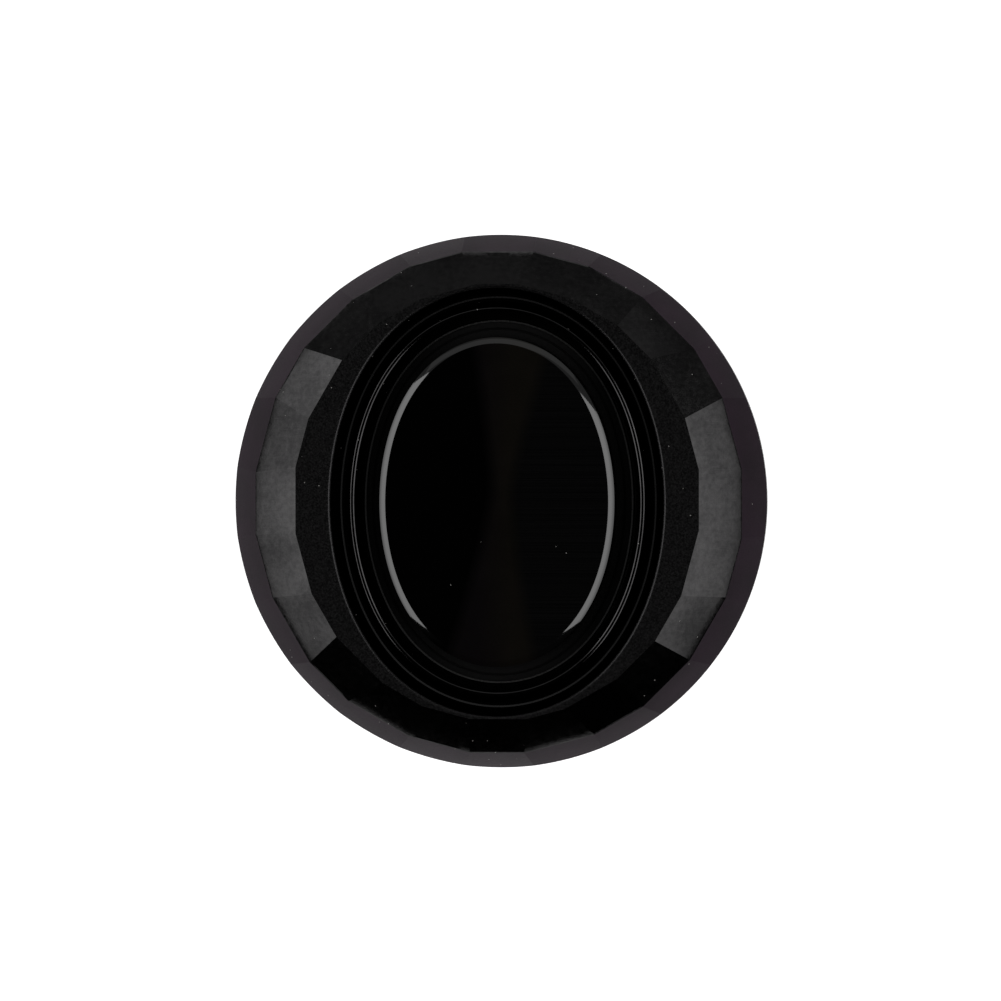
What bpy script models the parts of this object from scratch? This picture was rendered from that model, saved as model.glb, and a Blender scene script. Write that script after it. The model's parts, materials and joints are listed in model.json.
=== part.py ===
"""Sealed survey mini prism: a one-inch corner cube in a screw-apart puck.

The puck lies on its flat back with the oval window facing +Z. A faceted front cap carries
the window and screws onto a canister that holds the glass corner cube on a spring.
Lengths below are in millimetres and angles in degrees; MM turns them into metres.
"""

import math

import bmesh
import bpy
from mathutils import Matrix, Vector

MM = 0.001

# ---------------------------------------------------------------- driving dimensions
TOP_Z = 38.0            # height of the table and of the window's face above the flat back
RIM_RADIUS = 21.0       # largest radius of the front cap
BODY_RADIUS = 19.4      # skirt, canister and back plate
GAP = 0.3               # clearance between pieces that meet
FINE_GAP = 0.15         # clearance between the small pieces round the window

# Faceted front: 24 flats, a little longer along Y than along X.
FACETS = 24
TABLE_APOTHEM_X = 15.80
TABLE_APOTHEM_Y = 16.99
BEVEL_APOTHEM_X = 19.07
BEVEL_APOTHEM_Y = 19.66
BEVEL_DEPTH = 2.08
RIM_DEPTH = 4.74        # depth of the largest radius below the table
RIM_LAND = 1.7          # height of the plain band under the flats

# Every oval is a parallel curve of one core ellipse, at the offset given for it.
CORE_X = 3.90
CORE_Y = 7.65
OVAL_SEGMENTS = 48
FACE_OFFSET = 4.82      # edge of the window's flat face
WINDOW_OFFSET = 5.34    # side of the window's raised part
SEAL_OFFSET = 6.60      # inner foot of the bezel
CREST_OFFSET = 7.485    # crest of the bezel
APERTURE_OFFSET = 8.46  # straight part of the cover's aperture
MOUTH_OFFSET = 9.29     # edge of the aperture on the table
CREST_WIDTH = 0.24

# Levels of the window stack, from the front to the back.
CREST_Z = TOP_Z - 0.6
APERTURE_Z = TOP_Z - 2.0
SEAL_TOP_Z = TOP_Z - 2.75
COVER_UNDER_Z = TOP_Z - 2.5
BEZEL_FLANGE_TOP_Z = COVER_UNDER_Z - GAP
BEZEL_FLANGE_Z = BEZEL_FLANGE_TOP_Z - 0.9
WINDOW_FLANGE_TOP_Z = BEZEL_FLANGE_Z - GAP
WINDOW_BACK_Z = WINDOW_FLANGE_TOP_Z - 1.1
WINDOW_GASKET_TOP_Z = WINDOW_BACK_Z - GAP
WINDOW_GASKET_Z = WINDOW_GASKET_TOP_Z - 0.5
CLAMP_FLOOR_Z = WINDOW_GASKET_Z - GAP
CLAMP_BACK_Z = CLAMP_FLOOR_Z - 1.5
WINDOW_FLANGE_OFFSET = 7.6
POCKET_OFFSET = 7.9
CLAMP_HOLE_OFFSET = 4.8
CLAMP_RADIUS = 17.5
CLAMP_SCREW_X = 14.4
CLAMP_SCREW_Y = 5.4

# Screw joint between cap and canister: the cap turns on a 1 mm pitch thread.
CAP_BORE = 17.85
CAP_RELIEF = 18.2
NECK_RADIUS = 17.5
NECK_RELIEF = 17.1
SHOULDER_Z = 10.0
WASHER_Z = SHOULDER_Z + GAP
WASHER_TOP_Z = WASHER_Z + 0.5
SKIRT_Z = WASHER_TOP_Z + GAP
THREAD_Z = 15.8
THREAD_TOP_Z = 19.3
NECK_TOP_Z = 29.9
O_RING_RADIUS = 17.1
O_RING_WIRE = 0.6
O_RING_Z = 13.1

# Corner cube: 25.4 mm glass, three square faces meeting at the apex.
PRISM_RADIUS = 12.7
PRISM_FACE_Z = 27.1
PRISM_LENGTH = 19.0
PRISM_APEX_Z = PRISM_FACE_Z - PRISM_LENGTH
CANISTER_BORE = 14.6
CARRIER_RADIUS = 14.3
CARRIER_BORE = 13.0
CARRIER_Z = 10.4
CARRIER_SHELF_Z = 12.0
CARRIER_TOP_Z = 26.6
SHELF_BORE = 8.5

# Back plate, its screws and the brass bushing with an M8 socket.
PLATE_THICKNESS = 2.6
CANISTER_Z = 3.7
BACK_SCREW_CIRCLE = 16.9
SOCKET_RADIUS = 3.4
SOCKET_DEPTH = 6.3
BUSHING_RADIUS = 6.0
BUSHING_TOP_Z = 7.3
BUSHING_FLANGE_RADIUS = 9.2
BUSHING_SCREW_CIRCLE = 7.6
FLAT_DISTANCE = 18.4

ROUND = 48              # sides of a large round piece
SMALL_ROUND = 32        # sides of a smaller one
SCREW_ROUND = 10        # sides of a screw

# ---------------------------------------------------------------- materials
FINISHES = {
    "black_anodised": ((0.018, 0.016, 0.018), 0.34, 0.6),
    "black_glass": ((0.006, 0.006, 0.007), 0.08, 0.0),
    "black_rubber": ((0.012, 0.012, 0.012), 0.75, 0.0),
    "white_acetal": ((0.72, 0.72, 0.68), 0.45, 0.0),
    "grey_nylon": ((0.11, 0.11, 0.12), 0.55, 0.0),
    "optical_glass": ((0.80, 0.90, 0.93), 0.03, 0.0),
    "steel": ((0.55, 0.55, 0.56), 0.30, 1.0),
    "brass": ((0.72, 0.52, 0.22), 0.32, 1.0),
}


def clear_scene():
    for obj in list(bpy.data.objects):
        bpy.data.objects.remove(obj)


def make_materials():
    materials = {}
    for name, (colour, roughness, metallic) in FINISHES.items():
        material = bpy.data.materials.new(name)
        material.use_nodes = True
        shader = material.node_tree.nodes["Principled BSDF"]
        shader.inputs["Base Color"].default_value = (*colour, 1.0)
        shader.inputs["Roughness"].default_value = roughness
        shader.inputs["Metallic"].default_value = metallic
        materials[name] = material
    return materials


def make_collection(name):
    collection = bpy.data.collections.new(name)
    bpy.context.scene.collection.children.link(collection)
    return collection


clear_scene()
MATERIALS = make_materials()
PARTS = make_collection("survey_mini_prism")
CUTTERS = make_collection("cutters")


# ---------------------------------------------------------------- building blocks
def add_object(name, mesh, finish):
    """A part if a finish is named, or a cutter if finish is None."""
    obj = bpy.data.objects.new(name, mesh)
    if finish is None:
        CUTTERS.objects.link(obj)
        obj.hide_render = True
        obj.display_type = "WIRE"
    else:
        PARTS.objects.link(obj)
        mesh.materials.append(MATERIALS[finish])
    return obj


def mesh_from(bm, name):
    mesh = bpy.data.meshes.new(name)
    bm.to_mesh(mesh)
    bm.free()
    return mesh


def smooth(obj, angle=30.0):
    obj.data.shade_smooth()
    obj.data.set_sharp_from_angle(angle=math.radians(angle))


def turned(name, profile, finish, closed=True, sides=ROUND):
    """Turn (radius, z) points, which run down the outer side, about the Z axis."""
    bm = bmesh.new()
    verts = [bm.verts.new((radius * MM, 0.0, z * MM)) for radius, z in profile]
    for first, second in zip(verts, verts[1:]):
        bm.edges.new((first, second))
    if closed:
        bm.edges.new((verts[-1], verts[0]))
    obj = add_object(name, mesh_from(bm, name), finish)
    screw = obj.modifiers.new("turn", "SCREW")
    screw.axis = "Z"
    screw.angle = 2.0 * math.pi
    screw.steps = sides
    screw.render_steps = sides
    screw.use_merge_vertices = True
    screw.merge_threshold = 0.00001
    screw.use_smooth_shade = True
    return obj


def oval_ring(bm, offset, z):
    """Vertices on the curve parallel to the core ellipse at the offset."""
    verts = []
    for step in range(OVAL_SEGMENTS):
        angle = 2.0 * math.pi * step / OVAL_SEGMENTS
        core = Vector((CORE_X * math.cos(angle), CORE_Y * math.sin(angle), 0.0))
        normal = Vector((CORE_Y * math.cos(angle), CORE_X * math.sin(angle), 0.0)).normalized()
        point = core + normal * offset
        verts.append(bm.verts.new((point.x * MM, point.y * MM, z * MM)))
    return verts


def oval_solid(name, profile, finish, ring=False):
    """Carry (offset, z) points round the oval: a plug, or a ring if the profile closes."""
    bm = bmesh.new()
    loops = [oval_ring(bm, offset, z) for offset, z in profile]
    pairs = list(zip(loops, loops[1:]))
    if ring:
        pairs.append((loops[-1], loops[0]))
    for upper, lower in pairs:
        for step in range(OVAL_SEGMENTS):
            after = (step + 1) % OVAL_SEGMENTS
            bm.faces.new((upper[step], lower[step], lower[after], upper[after]))
    if not ring:
        bm.faces.new(loops[0])
        bm.faces.new(reversed(loops[-1]))
    bmesh.ops.recalc_face_normals(bm, faces=bm.faces)
    return add_object(name, mesh_from(bm, name), finish)


def cylinder(name, radius, low_z, high_z, finish, x=0.0, y=0.0, sides=ROUND):
    bm = bmesh.new()
    place = Matrix.Translation((x * MM, y * MM, (low_z + high_z) / 2.0 * MM))
    bmesh.ops.create_cone(bm, cap_ends=True, segments=sides, radius1=radius * MM,
                          radius2=radius * MM, depth=(high_z - low_z) * MM, matrix=place)
    return add_object(name, mesh_from(bm, name), finish)


def box(name, size, centre, finish, turn=0.0):
    """A box, placed by its centre and then turned about the Z axis."""
    bm = bmesh.new()
    bmesh.ops.create_cube(bm, size=1.0)
    bmesh.ops.scale(bm, vec=Vector(size) * MM, verts=bm.verts)
    bmesh.ops.translate(bm, vec=Vector(centre) * MM, verts=bm.verts)
    bmesh.ops.rotate(bm, cent=(0.0, 0.0, 0.0), matrix=Matrix.Rotation(math.radians(turn), 3, "Z"),
                     verts=bm.verts)
    return add_object(name, mesh_from(bm, name), finish)


def boolean(obj, other, operation="DIFFERENCE"):
    modifier = obj.modifiers.new(other.name, "BOOLEAN")
    modifier.object = other
    modifier.operation = operation
    modifier.solver = "EXACT"


def cut_holes(obj, places, radius, low_z, high_z, sides=SCREW_ROUND):
    """Drill the same round hole at each (x, y)."""
    for index, (x, y) in enumerate(places, start=1):
        hole_name = f"{obj.name}_hole_{radius:.2f}_{index}"
        boolean(obj, cylinder(hole_name, radius, low_z, high_z, None, x, y, sides))


def circle_places(radius, count, start):
    angles = [math.radians(start + 360.0 * step / count) for step in range(count)]
    return [(radius * math.cos(angle), radius * math.sin(angle)) for angle in angles]


def keep_inside(bm, point, normal):
    """Grind a flat: remove what stands outside a plane and close the cut."""
    cut = bmesh.ops.bisect_plane(bm, geom=list(bm.verts) + list(bm.edges) + list(bm.faces),
                                 dist=1e-8, plane_co=point, plane_no=normal, clear_outer=True)
    rim = [item for item in cut["geom_cut"] if isinstance(item, bmesh.types.BMEdge)]
    bmesh.ops.contextual_create(bm, geom=rim)


def screw_piece(name, x, y, head_z, tip_z, head_radius, shaft_radius, head_height, facing):
    """A cap screw; facing is +1 with its head up and -1 with its head down."""
    under_z = head_z - facing * head_height
    socket_radius = head_radius * 0.5
    socket_z = head_z - facing * head_height * 0.55
    profile = [
        (0.0, socket_z),
        (socket_radius, socket_z),
        (socket_radius, head_z),
        (head_radius, head_z),
        (head_radius, under_z),
        (shaft_radius, under_z),
        (shaft_radius, tip_z),
        (0.0, tip_z),
    ]
    if facing < 0:
        profile.reverse()
    obj = turned(name, profile, "steel", closed=False, sides=SCREW_ROUND)
    obj.location = (x * MM, y * MM, 0.0)
    return obj


# ---------------------------------------------------------------- front cap
CLAMP_SCREW_PLACES = [
    (side_x * CLAMP_SCREW_X, side_y * CLAMP_SCREW_Y)
    for side_x in (1, -1)
    for side_y in (1, -1)
]


def cover_blank():
    """The cap before its flats are ground: a turned cup with an internal thread land."""
    rim_z = TOP_Z - RIM_DEPTH - RIM_LAND
    flare = RIM_RADIUS - BODY_RADIUS
    profile = [
        (0.0, TOP_Z),
        (RIM_RADIUS, TOP_Z),
        (RIM_RADIUS, rim_z),
        (BODY_RADIUS, rim_z - flare),
        (BODY_RADIUS, SKIRT_Z + 0.5),
        (BODY_RADIUS - 0.5, SKIRT_Z),
        (18.15, SKIRT_Z),
        (18.15, THREAD_Z - 0.8),
        (CAP_BORE, THREAD_Z - 0.5),
        (CAP_BORE, THREAD_TOP_Z - 0.5),
        (CAP_RELIEF, THREAD_TOP_Z),
        (CAP_RELIEF, CLAMP_BACK_Z - 0.6),
        (CAP_BORE, CLAMP_BACK_Z - 0.3),
        (CAP_BORE, COVER_UNDER_Z),
        (0.0, COVER_UNDER_Z),
    ]
    blank = turned("cover_blank", profile, None, closed=False)
    graph = bpy.context.evaluated_depsgraph_get()
    bm = bmesh.new()
    bm.from_object(blank, graph)
    bpy.data.objects.remove(blank)
    return bm


def facet_apothem(along_x, along_y, angle):
    return along_x + (along_y - along_x) * math.sin(angle) ** 2


def make_front_cover():
    bm = cover_blank()
    bevel_z = TOP_Z - BEVEL_DEPTH
    rim_z = TOP_Z - RIM_DEPTH
    for step in range(FACETS):
        angle = 2.0 * math.pi * step / FACETS
        outward = Vector((math.cos(angle), math.sin(angle), 0.0))
        table = facet_apothem(TABLE_APOTHEM_X, TABLE_APOTHEM_Y, angle)
        bevel = facet_apothem(BEVEL_APOTHEM_X, BEVEL_APOTHEM_Y, angle)
        for inner, high_z, outer, low_z in (
            (bevel, bevel_z, RIM_RADIUS, rim_z),
            (table, TOP_Z, bevel, bevel_z),
        ):
            point = (outward * inner + Vector((0.0, 0.0, high_z))) * MM
            normal = outward * (high_z - low_z) + Vector((0.0, 0.0, outer - inner))
            keep_inside(bm, point, normal.normalized())
    cover = add_object("front_cover", mesh_from(bm, "front_cover"), "black_anodised")
    slope = (MOUTH_OFFSET - APERTURE_OFFSET) / (TOP_Z - APERTURE_Z)
    above = 0.5
    aperture = oval_solid("aperture_cutter", [
        (MOUTH_OFFSET + slope * above, TOP_Z + above),
        (APERTURE_OFFSET, APERTURE_Z),
        (APERTURE_OFFSET, COVER_UNDER_Z - above),
    ], None)
    boolean(cover, aperture)
    cut_holes(cover, CLAMP_SCREW_PLACES, 1.05, COVER_UNDER_Z - 0.5, TOP_Z - 1.1)
    smooth(cover, 5.0)


def make_window_bezel():
    """A thin round flange with a sharp oval ridge that stands in the aperture."""
    half_crest = CREST_WIDTH / 2.0
    foot = APERTURE_OFFSET - FINE_GAP
    bezel = cylinder("window_bezel", CLAMP_RADIUS, BEZEL_FLANGE_Z, BEZEL_FLANGE_TOP_Z,
                     "black_anodised")
    ridge = oval_solid("ridge_form", [
        (CREST_OFFSET + half_crest, CREST_Z),
        (foot, APERTURE_Z),
        (foot, BEZEL_FLANGE_Z + 0.3),
    ], None)
    boolean(bezel, ridge, "UNION")
    slope = (CREST_OFFSET - half_crest - SEAL_OFFSET) / (CREST_Z - SEAL_TOP_Z)
    above = 0.5
    hole = oval_solid("ridge_cutter", [
        (CREST_OFFSET - half_crest + slope * above, CREST_Z + above),
        (SEAL_OFFSET, SEAL_TOP_Z),
        (SEAL_OFFSET, BEZEL_FLANGE_Z - above),
    ], None)
    boolean(bezel, hole)
    cut_holes(bezel, CLAMP_SCREW_PLACES, 1.05, BEZEL_FLANGE_Z - 0.5, BEZEL_FLANGE_TOP_Z + 0.5)
    smooth(bezel)


def make_window():
    side_top_z = TOP_Z - 0.5
    window = oval_solid("window", [
        (FACE_OFFSET, TOP_Z),
        (FACE_OFFSET + 0.37, TOP_Z - 0.15),
        (WINDOW_OFFSET, side_top_z),
        (WINDOW_OFFSET, WINDOW_FLANGE_TOP_Z),
        (WINDOW_FLANGE_OFFSET, WINDOW_FLANGE_TOP_Z),
        (WINDOW_FLANGE_OFFSET, WINDOW_BACK_Z),
    ], "black_glass")
    smooth(window, 50.0)


def make_window_seals():
    seal = oval_solid("window_seal", [
        (SEAL_OFFSET - FINE_GAP, SEAL_TOP_Z),
        (SEAL_OFFSET - FINE_GAP, WINDOW_FLANGE_TOP_Z + GAP),
        (WINDOW_OFFSET + FINE_GAP, WINDOW_FLANGE_TOP_Z + GAP),
        (WINDOW_OFFSET + FINE_GAP, SEAL_TOP_Z),
    ], "black_rubber", ring=True)
    smooth(seal)
    gasket = oval_solid("window_gasket", [
        (WINDOW_FLANGE_OFFSET - 0.2, WINDOW_GASKET_TOP_Z),
        (WINDOW_FLANGE_OFFSET - 0.2, WINDOW_GASKET_Z),
        (CLAMP_HOLE_OFFSET + 0.2, WINDOW_GASKET_Z),
        (CLAMP_HOLE_OFFSET + 0.2, WINDOW_GASKET_TOP_Z),
    ], "black_rubber", ring=True)
    smooth(gasket)


def make_window_clamp():
    """A round carrier with an oval pocket for the window's flange and its gasket."""
    clamp = cylinder("window_clamp", CLAMP_RADIUS, CLAMP_BACK_Z, WINDOW_FLANGE_TOP_Z,
                     "black_anodised")
    pocket = oval_solid("pocket_cutter", [
        (POCKET_OFFSET, WINDOW_FLANGE_TOP_Z + 1.0),
        (POCKET_OFFSET, CLAMP_FLOOR_Z),
    ], None)
    hole = oval_solid("clamp_hole_cutter", [
        (CLAMP_HOLE_OFFSET, CLAMP_FLOOR_Z + 1.0),
        (CLAMP_HOLE_OFFSET, CLAMP_BACK_Z - 1.0),
    ], None)
    boolean(clamp, pocket)
    boolean(clamp, hole)
    cut_holes(clamp, CLAMP_SCREW_PLACES, 1.05, CLAMP_BACK_Z - 1.0, WINDOW_FLANGE_TOP_Z + 1.0)
    cut_holes(clamp, CLAMP_SCREW_PLACES, 1.85, CLAMP_BACK_Z - 1.0, CLAMP_BACK_Z + 1.4)
    smooth(clamp)


def make_clamp_screws():
    for index, (x, y) in enumerate(CLAMP_SCREW_PLACES, start=1):
        screw_piece(f"clamp_screw_{index}", x, y, CLAMP_BACK_Z + 0.1, TOP_Z - 1.4,
                    1.5, 0.75, 1.0, -1)


# ---------------------------------------------------------------- screw joint
def make_slip_washer():
    turned("slip_washer", [
        (19.2, WASHER_TOP_Z),
        (19.2, WASHER_Z),
        (CAP_BORE + 0.05, WASHER_Z),
        (CAP_BORE + 0.05, WASHER_TOP_Z),
    ], "white_acetal")


def make_cap_o_ring():
    wire_sides = 6
    profile = []
    for step in range(wire_sides):
        angle = -2.0 * math.pi * step / wire_sides
        radius = O_RING_RADIUS + O_RING_WIRE * math.cos(angle)
        profile.append((radius, O_RING_Z + O_RING_WIRE * math.sin(angle)))
    turned("cap_o_ring", profile, "black_rubber", sides=SMALL_ROUND)


# ---------------------------------------------------------------- canister
BACK_SCREW_PLACES = circle_places(BACK_SCREW_CIRCLE, 4, 45.0)
PIN_PLACES = circle_places(BACK_SCREW_CIRCLE, 1, 0.0)


def make_canister():
    groove_floor = O_RING_RADIUS - O_RING_WIRE - GAP
    groove_half = O_RING_WIRE + 0.2
    canister = turned("canister", [
        (NECK_RELIEF - 0.4, NECK_TOP_Z),
        (NECK_RELIEF, NECK_TOP_Z - 0.4),
        (NECK_RELIEF, THREAD_TOP_Z),
        (NECK_RADIUS, THREAD_TOP_Z - 0.4),
        (NECK_RADIUS, O_RING_Z + groove_half),
        (groove_floor, O_RING_Z + groove_half),
        (groove_floor, O_RING_Z - groove_half),
        (NECK_RADIUS, O_RING_Z - groove_half),
        (NECK_RADIUS, SHOULDER_Z),
        (BODY_RADIUS, SHOULDER_Z),
        (BODY_RADIUS, CANISTER_Z),
        (CANISTER_BORE, CANISTER_Z),
        (CANISTER_BORE, NECK_TOP_Z),
    ], "black_anodised")
    flat_size = (20.0, 4.0, 4.4)
    for side, turn in (("left", 0.0), ("right", 180.0)):
        centre = (0.0, FLAT_DISTANCE + flat_size[1] / 2.0, 7.0)
        boolean(canister, box(f"spanner_flat_{side}", flat_size, centre, None, turn))
    cut_holes(canister, BACK_SCREW_PLACES, 1.1, CANISTER_Z - 1.0, 8.9)
    cut_holes(canister, PIN_PLACES, 1.05, CANISTER_Z - 1.0, 6.3)
    smooth(canister)


def make_prism():
    """A glass cylinder ground to three faces that meet at right angles at the apex."""
    bm = bmesh.new()
    place = Matrix.Translation((0.0, 0.0, (PRISM_FACE_Z - PRISM_LENGTH / 2.0) * MM))
    bmesh.ops.create_cone(bm, cap_ends=True, segments=ROUND, radius1=PRISM_RADIUS * MM,
                          radius2=PRISM_RADIUS * MM, depth=(PRISM_LENGTH + 1.0) * MM, matrix=place)
    bmesh.ops.translate(bm, vec=(0.0, 0.0, -0.5 * MM), verts=bm.verts)
    apex = Vector((0.0, 0.0, PRISM_APEX_Z)) * MM
    for step in range(3):
        angle = math.radians(90.0 + 120.0 * step)
        steepness = math.sqrt(2.0)
        normal = Vector((steepness * math.cos(angle), steepness * math.sin(angle), -1.0))
        keep_inside(bm, apex, normal.normalized())
    prism = add_object("corner_cube", mesh_from(bm, "corner_cube"), "optical_glass")
    smooth(prism)


def make_prism_holder():
    turned("prism_carrier", [
        (CARRIER_RADIUS, CARRIER_TOP_Z),
        (CARRIER_RADIUS, CARRIER_Z),
        (SHELF_BORE, CARRIER_Z),
        (SHELF_BORE, CARRIER_SHELF_Z),
        (CARRIER_BORE, CARRIER_SHELF_Z),
        (CARRIER_BORE, CARRIER_TOP_Z),
    ], "grey_nylon", sides=SMALL_ROUND)
    pad_low_z = CARRIER_SHELF_Z + GAP
    pad_high_z = 15.0
    for step in range(3):
        box(f"prism_pad_{step + 1}", (2.4, 2.4, pad_high_z - pad_low_z),
            (11.4, 0.0, (pad_low_z + pad_high_z) / 2.0), "black_rubber", 30.0 + 120.0 * step)
    gasket_z = PRISM_FACE_Z + GAP
    turned("prism_gasket", [
        (13.6, gasket_z + 0.5),
        (13.6, gasket_z),
        (11.4, gasket_z),
        (11.4, gasket_z + 0.5),
    ], "black_rubber", sides=SMALL_ROUND)
    ring_z = gasket_z + 0.5 + GAP
    ring_height = 1.6
    ring = turned("prism_ring", [
        (CARRIER_RADIUS, ring_z + ring_height),
        (CARRIER_RADIUS, ring_z),
        (11.2, ring_z),
        (11.2, ring_z + ring_height),
    ], "black_anodised", sides=SMALL_ROUND)
    for turn in (0.0, 180.0):
        slot = box(f"spanner_slot_{turn:.0f}", (6.0, 1.5, 1.6), (13.5, 0.0, ring_z + ring_height),
                   None, turn)
        boolean(ring, slot)


def make_carrier_spring():
    """A helical compression spring between the back plate and the carrier."""
    coil_radius = 11.3
    wire = 0.6
    turns = 2.5
    points_per_turn = 18
    low_z = PLATE_THICKNESS + GAP + wire
    high_z = CARRIER_Z - GAP - wire
    count = round(turns * points_per_turn)
    curve = bpy.data.curves.new("spring_path", "CURVE")
    curve.dimensions = "3D"
    curve.bevel_depth = wire * MM
    curve.bevel_resolution = 1
    curve.use_fill_caps = True
    spline = curve.splines.new("POLY")
    spline.points.add(count)
    for step in range(count + 1):
        share = step / count
        angle = 2.0 * math.pi * turns * share
        z = low_z + (high_z - low_z) * share
        x = coil_radius * math.cos(angle)
        y = coil_radius * math.sin(angle)
        spline.points[step].co = (x * MM, y * MM, z * MM, 1.0)
    path = bpy.data.objects.new("spring_path", curve)
    CUTTERS.objects.link(path)
    graph = bpy.context.evaluated_depsgraph_get()
    mesh = bpy.data.meshes.new_from_object(path.evaluated_get(graph))
    bm = bmesh.new()
    bm.from_mesh(mesh)
    bmesh.ops.remove_doubles(bm, verts=bm.verts, dist=1e-7)
    bm.to_mesh(mesh)
    bm.free()
    bpy.data.objects.remove(path)
    spring = add_object("carrier_spring", mesh, "steel")
    smooth(spring, 60.0)


# ---------------------------------------------------------------- back
BUSHING_SCREW_PLACES = circle_places(BUSHING_SCREW_CIRCLE, 3, 90.0)


def make_back_plate():
    edge = 0.6
    plate = turned("back_plate", [
        (BODY_RADIUS, PLATE_THICKNESS),
        (BODY_RADIUS, edge),
        (BODY_RADIUS - edge, 0.0),
        (BUSHING_RADIUS + GAP, 0.0),
        (BUSHING_RADIUS + GAP, PLATE_THICKNESS),
    ], "black_anodised")
    cut_holes(plate, BACK_SCREW_PLACES, 1.1, -1.0, PLATE_THICKNESS + 1.0)
    cut_holes(plate, BACK_SCREW_PLACES, 1.9, -1.0, 1.5)
    cut_holes(plate, BUSHING_SCREW_PLACES, 0.9, 1.0, PLATE_THICKNESS + 1.0)
    cut_holes(plate, PIN_PLACES, 1.05, 0.8, PLATE_THICKNESS + 1.0)
    smooth(plate)
    for index, (x, y) in enumerate(BACK_SCREW_PLACES, start=1):
        screw_piece(f"back_screw_{index}", x, y, 0.2, 8.6, 1.6, 0.8, 1.0, -1)
    for x, y in PIN_PLACES:
        cylinder("index_pin", 0.75, 1.1, 6.0, "steel", x, y, SCREW_ROUND)


def make_back_gasket():
    gasket_z = PLATE_THICKNESS + GAP
    gasket = turned("back_gasket", [
        (18.9, gasket_z + 0.5),
        (18.9, gasket_z),
        (15.0, gasket_z),
        (15.0, gasket_z + 0.5),
    ], "black_rubber")
    cut_holes(gasket, BACK_SCREW_PLACES, 1.2, gasket_z - 1.0, gasket_z + 1.0)
    cut_holes(gasket, PIN_PLACES, 1.2, gasket_z - 1.0, gasket_z + 1.0)


def make_mount_bushing():
    flange_z = PLATE_THICKNESS + GAP
    flange_top_z = flange_z + 1.2
    boss = 5.2
    bushing = turned("mount_bushing", [
        (0.0, BUSHING_TOP_Z),
        (boss - 0.5, BUSHING_TOP_Z),
        (boss, BUSHING_TOP_Z - 0.5),
        (boss, flange_top_z),
        (BUSHING_FLANGE_RADIUS, flange_top_z),
        (BUSHING_FLANGE_RADIUS, flange_z),
        (BUSHING_RADIUS, flange_z),
        (BUSHING_RADIUS, 0.0),
        (SOCKET_RADIUS + 0.5, 0.0),
        (SOCKET_RADIUS, 0.5),
        (SOCKET_RADIUS, SOCKET_DEPTH),
        (0.0, SOCKET_DEPTH),
    ], "brass", closed=False, sides=SMALL_ROUND)
    cut_holes(bushing, BUSHING_SCREW_PLACES, 0.9, flange_z - 1.0, flange_top_z + 0.1)
    smooth(bushing)
    for index, (x, y) in enumerate(BUSHING_SCREW_PLACES, start=1):
        screw_piece(f"bushing_screw_{index}", x, y, flange_top_z + 1.2, 1.3, 1.2, 0.6, 0.9, 1)


make_front_cover()
make_window_bezel()
make_window()
make_window_seals()
make_window_clamp()
make_clamp_screws()
make_slip_washer()
make_cap_o_ring()
make_canister()
make_prism()
make_prism_holder()
make_carrier_spring()
make_back_plate()
make_back_gasket()
make_mount_bushing()
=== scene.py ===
"""Looks of the sealed survey mini prism: fine geometry, materials, studio and camera."""
import json
import math

import bmesh
import bpy
from mathutils import Matrix, Vector


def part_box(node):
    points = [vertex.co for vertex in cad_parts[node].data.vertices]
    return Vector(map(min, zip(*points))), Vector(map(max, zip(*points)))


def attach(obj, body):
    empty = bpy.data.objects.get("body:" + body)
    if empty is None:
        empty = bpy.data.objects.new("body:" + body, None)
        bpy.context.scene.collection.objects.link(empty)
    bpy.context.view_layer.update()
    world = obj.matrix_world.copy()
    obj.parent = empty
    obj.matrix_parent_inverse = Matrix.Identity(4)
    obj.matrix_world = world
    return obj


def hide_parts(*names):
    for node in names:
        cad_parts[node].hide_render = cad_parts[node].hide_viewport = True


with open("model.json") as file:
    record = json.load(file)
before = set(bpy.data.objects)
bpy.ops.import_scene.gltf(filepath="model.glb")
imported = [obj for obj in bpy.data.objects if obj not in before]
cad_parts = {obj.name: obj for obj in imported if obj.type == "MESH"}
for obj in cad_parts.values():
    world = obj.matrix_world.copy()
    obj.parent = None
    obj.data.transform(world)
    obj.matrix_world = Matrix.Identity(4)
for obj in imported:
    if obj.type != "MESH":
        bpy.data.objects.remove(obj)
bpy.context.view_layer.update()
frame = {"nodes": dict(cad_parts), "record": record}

MM = 0.001

# ---------------------------------------------------------------- sizes from the frame (mm)
COVER_LOW, COVER_HIGH = (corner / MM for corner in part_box("front_cover"))
CANISTER_LOW, CANISTER_HIGH = (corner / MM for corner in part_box("canister"))
PLATE_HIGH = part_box("back_plate")[1] / MM
TOP_Z = COVER_HIGH.z
RIM_RADIUS = COVER_HIGH.x
BODY_RADIUS = CANISTER_HIGH.x
SKIRT_Z = COVER_LOW.z

# Flats of the cap: table polygon, then bevel polygon, then the largest radius. A polygon is given
# by its apothem along X and along Y and by how unequal its flats are.
FACETS = 24
STEPS_PER_FACET = 16
COLUMNS = FACETS * STEPS_PER_FACET
TABLE = (15.80, 16.99, 0.06)
BEVEL = (19.07, 19.66, -0.06)
BEVEL_DEPTH = 2.08
RIM_DEPTH = 4.74
RIM_LAND = 1.7
BEVEL_CROWN = 0.026
FLANK_CROWN = 0.020
EDGE_ABOVE = 0.027      # share of the bevel that its broken lower edge takes
EDGE_BELOW = 0.012      # share of the flank that the same edge takes
FLAT_WAVE = 2.4         # radians from one flat to the next of the wave that makes them unequal
BEVEL_ROWS = 6
FLANK_ROWS = 4
MOUTH_ROUND = 0.25
MOUTH_STEPS = 6
MOUTH_REACH = 0.9985    # how much of the table the mouth may reach across
LIP = 0.13
LIP_SLOPE = 0.25

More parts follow.
